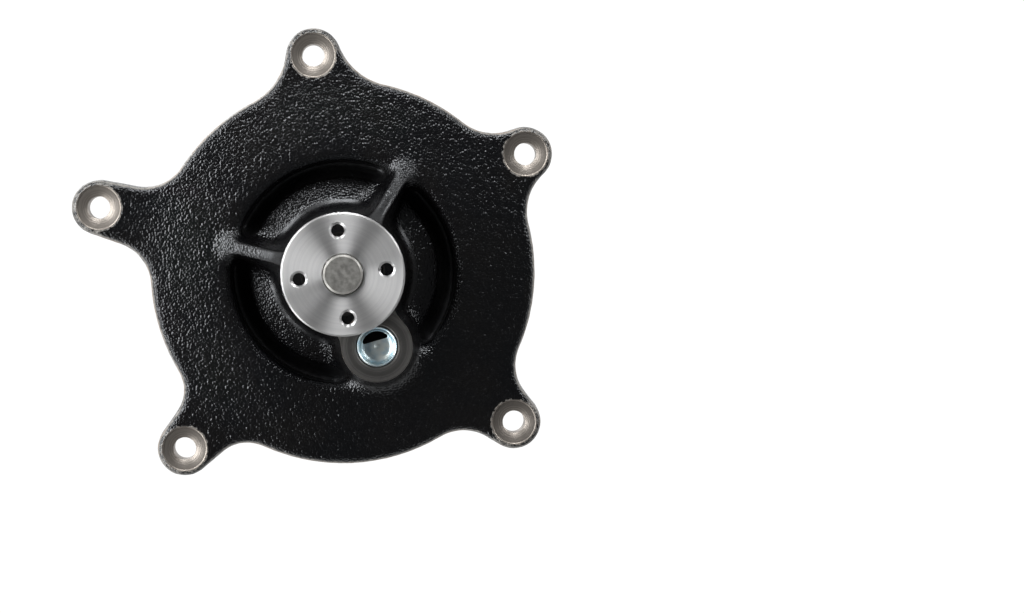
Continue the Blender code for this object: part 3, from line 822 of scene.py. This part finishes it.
def hub(steel):
    rear, front = HUB_FACES
    bore, edge = SHAFT_R + GAP, HUB_EDGE
    outline = [(bore, HUB_END), (NECK_R - 1.0, HUB_END), (NECK_R, HUB_END + 1.0)]
    outline += arc((NECK_R + NECK_FILLET, rear - NECK_FILLET), NECK_FILLET, 180.0, 90.0, 6)
    outline += [(HUB_R - edge, rear), (HUB_R, rear + edge), (HUB_R, front - edge), (HUB_R - edge, front)]
    outline += [(bore + 0.35, front), (bore, front - 0.35)]
    disc = lathe("hub_disc", outline)
    dress(disc, steel)
    for number in range(HUB_BOLTS):
        place = polar(HUB_BOLT_CIRCLE_R, HUB_BOLT_ANGLE + 360.0 * number / HUB_BOLTS)
        cut(disc, lathe("drill", tapped_hole(front, rear, HUB_END - 3.0), 48, place))
    store(disc.data, "tool_centre", "FLOAT_VECTOR", "FACE", np.zeros((len(disc.data.polygons), 3)))
    smooth(disc, 30.0)
    return stand_for(disc, "rotor", "hub")


def shaft(steel):
    rear, front = SHAFT_ENDS
    groove_r = BALL_R + 0.2
    half = math.degrees(math.acos((BALL_ORBIT_R - SHAFT_R) / groove_r))
    outline = [(0.0, front), (SHAFT_R - 1.0, front), (SHAFT_R, front - 1.0)]
    outline += arc((BALL_ORBIT_R, BALL_ROW), groove_r, 180.0 - half, 180.0 + half, 12)
    outline += [(SHAFT_R, rear + 0.9), (SHAFT_R - 0.9, rear), (0.0, rear)]
    bar = lathe("shaft", outline)
    dress(bar, steel)
    smooth(bar, 30.0)
    return stand_for(bar, "rotor", "bearing_shaft")


def vent_outline():
    """The half moon with rounded corners that is left open in the cup's floor."""
    corner = VENT_CHORD + VENT_CORNER
    side = math.sqrt((VENT_R - VENT_CORNER) ** 2 - corner**2)
    spread = math.degrees(math.atan2(side, corner))
    moon = arc((corner, -side), VENT_CORNER, -180.0, -spread, 6)
    moon += arc((0.0, 0.0), VENT_R, -spread, spread, 24)
    return moon + arc((corner, side), VENT_CORNER, spread, 180.0, 6)


def weep_plug(zinc):
    """A plated cup with a slightly dished floor and a small pip, pressed in open side out."""
    cup = [(0.0, 31.75), (0.7, 31.7), (1.3, 31.5), (1.9, 31.42), (4.6, 31.5)]
    cup += arc((5.2, 34.9), 3.35, 280.0, 352.0, 10) + [(8.75, 35.2), (9.0, 35.55), (9.35, 35.75)]
    cup += [(9.7, 35.65), (PLUG_R, 35.3), (PLUG_R, 32.2)]
    cup += arc((8.0, 32.25), 1.85, 350.0, 275.0, 5) + [(0.0, 30.4)]
    plug = lathe("cup_plug", cup, SMALL)
    dress(plug, zinc)
    cut(plug, prism("vent", turned_round(vent_outline(), VENT_ANGLE), 20.0, 40.0))
    x, z = polar(BOSS_DISTANCE, BOSS_ANGLE)
    plug.data.transform(Matrix.Translation((x * MM, 0.0, z * MM)))
    smooth(plug, 40.0)
    return stand_for(plug, "casting", "weep_plug")


def sealing_ring(rubber):
    """A square-cut ring with rounded corners and small nubs that hold it in its groove."""
    top, bottom = GROOVE_DEPTH - GAP, -GASKET_PROUD
    inner, outer = GASKET_R
    corners = ((outer, top, 0.0), (inner, top, 90.0), (inner, bottom, 180.0), (outer, bottom, 270.0))
    outline = []
    for radius, height, start in corners:
        inwards = GASKET_ROUND if radius == inner else -GASKET_ROUND
        upwards = GASKET_ROUND if height == bottom else -GASKET_ROUND
        outline += arc((radius + inwards, height + upwards), GASKET_ROUND, start, start + 90.0, 3)
    ring = lathe("sealing_ring", outline, 252)
    dress(ring, rubber)
    half = [(inner - 1.3, -0.9), (inner - 1.1, -1.3), (inner - 0.8, -1.4), (inner + 0.4, -1.4)]
    nub = half + [(u, -v) for u, v in reversed(half)]
    for number in range(NUBS):
        shape = turned_round(nub, 360.0 * (number + 0.5) / NUBS)
        cut(ring, prism("nub", shape, 0.4, top - 0.3), "UNION")
    smooth(ring, 35.0)
    return stand_for(ring, "casting", "gasket")


def vane_field(radius, turn, h):
    """Swept vanes that follow a spiral, one at each pitch, with rounded edges."""
    sweep, growth = math.radians(VANE_SWEEP), math.log(VANE_OUTER_R / VANE_INNER_R)
    slant = math.cos(math.atan(sweep / growth))
    spiral = turn - sweep * np.log(np.maximum(radius, 1.0) / VANE_INNER_R) / growth
    pitch = 2.0 * math.pi / VANES
    across = abs((spiral + pitch / 2.0) % pitch - pitch / 2.0) * radius * slant
    tip = VANE_TIP + VANE_TIP_RISE * (radius - VANE_INNER_R) / (VANE_OUTER_R - VANE_INNER_R)
    vane = meet(across - VANE_HALF_WIDTH, np.maximum(tip - h, h + 10.0), VANE_ROUND)
    return meet(vane, np.maximum(VANE_INNER_R - radius, radius - VANE_OUTER_R), VANE_ROUND)


def impeller(iron):
    """A cast open wheel: a disc and swept vanes with fillets at their roots."""
    cell = WHEEL_CELL
    low, high = WHEEL_BOX
    x, z, h = grid(low, high, cell)
    radius = np.hypot(x, z)
    rear, front = DISC_FACES
    bore = SHAFT_R + GAP
    outline = [(bore, -32.0), (14.6, -32.0), (15.6, -31.0), (22.5, -17.0), (23.5, -13.5), (26.0, rear)]
    outline += [(IMPELLER_R - 0.6, rear), (IMPELLER_R, rear + 0.6), (IMPELLER_R, front - 0.6)]
    outline += [(IMPELLER_R - 0.6, front), (18.9, front), (18.9, -15.3), (bore, -15.3)]
    wheel = turned_field(outline, radius, h, low)
    wheel = join(wheel, vane_field(radius, np.arctan2(z, x), h), VANE_ROOT)
    obj = mesh_of_field("impeller_wheel", np.maximum(wheel, bore - radius), low, cell)
    dress(obj, iron)
    smooth(obj, 40.0)
    return stand_for(obj, "rotor", "impeller")


# ---------------------------------------------------------------- studio


def aim(obj, place, target):
    obj.location = place
    obj.rotation_mode = "QUATERNION"
    obj.rotation_quaternion = (Vector(target) - Vector(place)).to_track_quat("-Z", "Y")


def softbox(name, azimuth, off_axis, distance, size, power):
    """A soft panel light. Azimuth goes round the pump's face, and off_axis counts from straight ahead."""
    light = bpy.data.lights.new(name, "AREA")
    light.shape = "RECTANGLE"
    light.size, light.size_y = size
    light.energy = power
    forward, sideways = polar(distance, off_axis)
    x, z = polar(sideways, azimuth)
    aim(add_object(name, light), (x, -forward, z), (0.0, 0.0, 0.0))


def white_to_camera(tree, lit, output, shader):
    """Shows plain white to the camera, and the lit surface or dimmer sky to everything else."""
    path = tree.nodes.new("ShaderNodeLightPath")
    white = tree.nodes.new(shader)
    white.inputs["Color"].default_value = (1.0, 1.0, 1.0, 1.0)
    white.inputs["Strength"].default_value = BACKDROP
    mix = tree.nodes.new("ShaderNodeMixShader")
    tree.links.new(path.outputs["Is Camera Ray"], mix.inputs[0])
    tree.links.new(lit, mix.inputs[1])
    tree.links.new(white.outputs[0], mix.inputs[2])
    tree.links.new(mix.outputs[0], output)


def sky(world):
    """White light from all round and behind, which fades out towards the camera's side."""
    world.use_nodes = True
    tree = world.node_tree
    glow = tree.nodes["Background"]
    glow.inputs["Color"].default_value = (1.0, 1.0, 1.0, 1.0)
    direction = tree.nodes.new("ShaderNodeTexCoord")
    parts = tree.nodes.new("ShaderNodeSeparateXYZ")
    fade = tree.nodes.new("ShaderNodeMapRange")
    curve = tree.nodes.new("ShaderNodeMath")
    least = tree.nodes.new("ShaderNodeMath")
    for socket, value in enumerate(SKY_FADE, 1):
        fade.inputs[socket].default_value = value
    curve.operation = "POWER"
    curve.inputs[1].default_value = SKY_CURVE
    least.operation = "ADD"
    least.inputs[1].default_value = SKY_LEAST
    tree.links.new(direction.outputs["Generated"], parts.inputs[0])
    tree.links.new(parts.outputs["Y"], fade.inputs[0])
    tree.links.new(fade.outputs[0], curve.inputs[0])
    tree.links.new(curve.outputs[0], least.inputs[0])
    tree.links.new(least.outputs[0], glow.inputs["Strength"])
    white_to_camera(tree, glow.outputs[0], tree.nodes["World Output"].inputs[0], "ShaderNodeBackground")


def floor():
    """A pale floor under the pump, which only the camera sees."""
    low = CAD_BOX[0][2] - FLOOR_DROP
    corners = [(x * FLOOR_REACH, y * FLOOR_REACH, low) for x, y in ((-1, -1), (1, -1), (1, 1), (-1, 1))]
    mesh = bpy.data.meshes.new("floor")
    mesh.from_pydata(corners, [], [(0, 1, 2, 3)])
    pale = bpy.data.materials.new("pale_floor")
    pale.use_nodes = True
    tree = pale.node_tree
    shader = tree.nodes["Principled BSDF"]
    shader.inputs["Base Color"].default_value = (0.3, 0.3, 0.3, 1.0)
    shader.inputs["Roughness"].default_value = 0.9
    white_to_camera(tree, shader.outputs[0], tree.nodes["Material Output"].inputs[0], "ShaderNodeEmission")
    mesh.materials.append(pale)
    plane = add_object("floor", mesh)
    plane.visible_diffuse = plane.visible_glossy = plane.visible_shadow = False


def studio():
    scene = bpy.context.scene
    scene.view_settings.view_transform = "Standard"
    scene.world = bpy.data.worlds.new("studio")
    sky(scene.world)
    floor()
    scene.camera = add_object("camera", bpy.data.cameras.new("camera"))
    scene.camera.data.lens = CAMERA_LENS
    scene.camera.data.clip_start = 0.05
    forward, up = CAMERA_DISTANCE * math.cos(CAMERA_TILT), CAMERA_DISTANCE * math.sin(CAMERA_TILT)
    aim(scene.camera, (CAMERA_SIDE, -forward, up), CAMERA_TARGET)
    for light in LIGHTS:
        softbox(*light)


# ---------------------------------------------------------------- the pump


def refinish(finish, *nodes):
    """Gives CAD nodes that keep their shape a finished material."""
    for name in nodes:
        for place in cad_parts[name].material_slots:
            place.material = finish


def painted_finishes():
    """The casting's finishes, in the order of PAINT, SPOT_FACE, BOSS_FACE and RAW_IRON."""
    spot_colours = (0.22, 0.20, 0.18), (0.33, 0.30, 0.27)
    spot = turned("spot_faced_iron", *spot_colours, (0.42, 0.52), 0.3, 0.5, 0.03, 0.9)
    boss_colours = (0.07, 0.068, 0.066), (0.12, 0.117, 0.112)
    boss = turned("faced_boss_iron", *boss_colours, (0.4, 0.5), 0.4, 0.35, 0.02, 0.6)
    rear = raw_iron("rear_iron", (0.085, 0.08, 0.078), (0.17, 0.16, 0.15))
    return black_paint(), spot, boss, rear


def shown_pieces(rubber):
    """The pieces with a finer shape than their CAD nodes."""
    casting(painted_finishes())
    hub(turned("hub_steel", (0.57, 0.57, 0.575), (0.63, 0.63, 0.63), (0.48, 0.52), 0.9, 0.3, 0.001))
    bar_colours = (0.27, 0.265, 0.25), (0.385, 0.38, 0.36)
    shaft(mottled("shaft_steel", *bar_colours, (0.42, 0.52), 0.9, 2.5, 0.5, 0.05))
    weep_plug(zinc_plate())
    sealing_ring(rubber)
    impeller(raw_iron("impeller_iron", (0.20, 0.19, 0.18), (0.33, 0.32, 0.30)))


def inner_pieces(rubber):
    """The bearing's and the seal's insides, which keep their CAD shapes."""
    steel = mottled("race_steel", (0.50,) * 3, (0.62,) * 3, (0.12, 0.22), 1.0, 6.0, 0.5, 0.01)
    brass = mottled("seal_brass", (0.50, 0.34, 0.14), (0.72, 0.52, 0.25), (0.22, 0.36), 1.0, 5.0, 0.6, 0.02)
    wire = mottled("spring_wire", (0.42, 0.42, 0.43), (0.6,) * 3, (0.2, 0.3), 1.0, 3.0, 0.4, 0.02)
    black = (0.018, 0.018, 0.019), (0.04, 0.04, 0.042)
    carbon = mottled("seal_carbon", *black, (0.3, 0.42), 0.2, 3.0, 0.3, 0.01)
    ivory = (0.70, 0.68, 0.63), (0.84, 0.83, 0.79)
    ceramic = mottled("seal_ceramic", *ivory, (0.16, 0.26), 0.0, 4.0, 0.5, 0.01)
    nylon = mottled("cage_nylon", (0.30, 0.25, 0.16), (0.42, 0.37, 0.26), (0.4, 0.52), 0.0, 4.0, 0.5, 0.02)
    refinish(steel, "bearing_outer_ring", "seal_carrier")
    refinish(steel, *[f"ball_{n + 1}" for n in range(BALLS)])
    refinish(steel, *[f"roller_{n + 1}" for n in range(ROLLERS)])
    refinish(rubber, "front_bearing_seal", "rear_bearing_seal", "seal_bellows", "seat_boot")
    refinish(nylon, "ball_cage", "roller_cage")
    refinish(brass, "seal_case")
    refinish(wire, "seal_spring")
    refinish(carbon, "carbon_ring")
    refinish(ceramic, "seal_seat")


def main():
    black = (0.012, 0.012, 0.013), (0.026, 0.026, 0.028)
    rubber = mottled("black_rubber", *black, (0.36, 0.5), 0.0, 4.0, 0.4, 0.02)
    shown_pieces(rubber)
    inner_pieces(rubber)
    studio()


main()
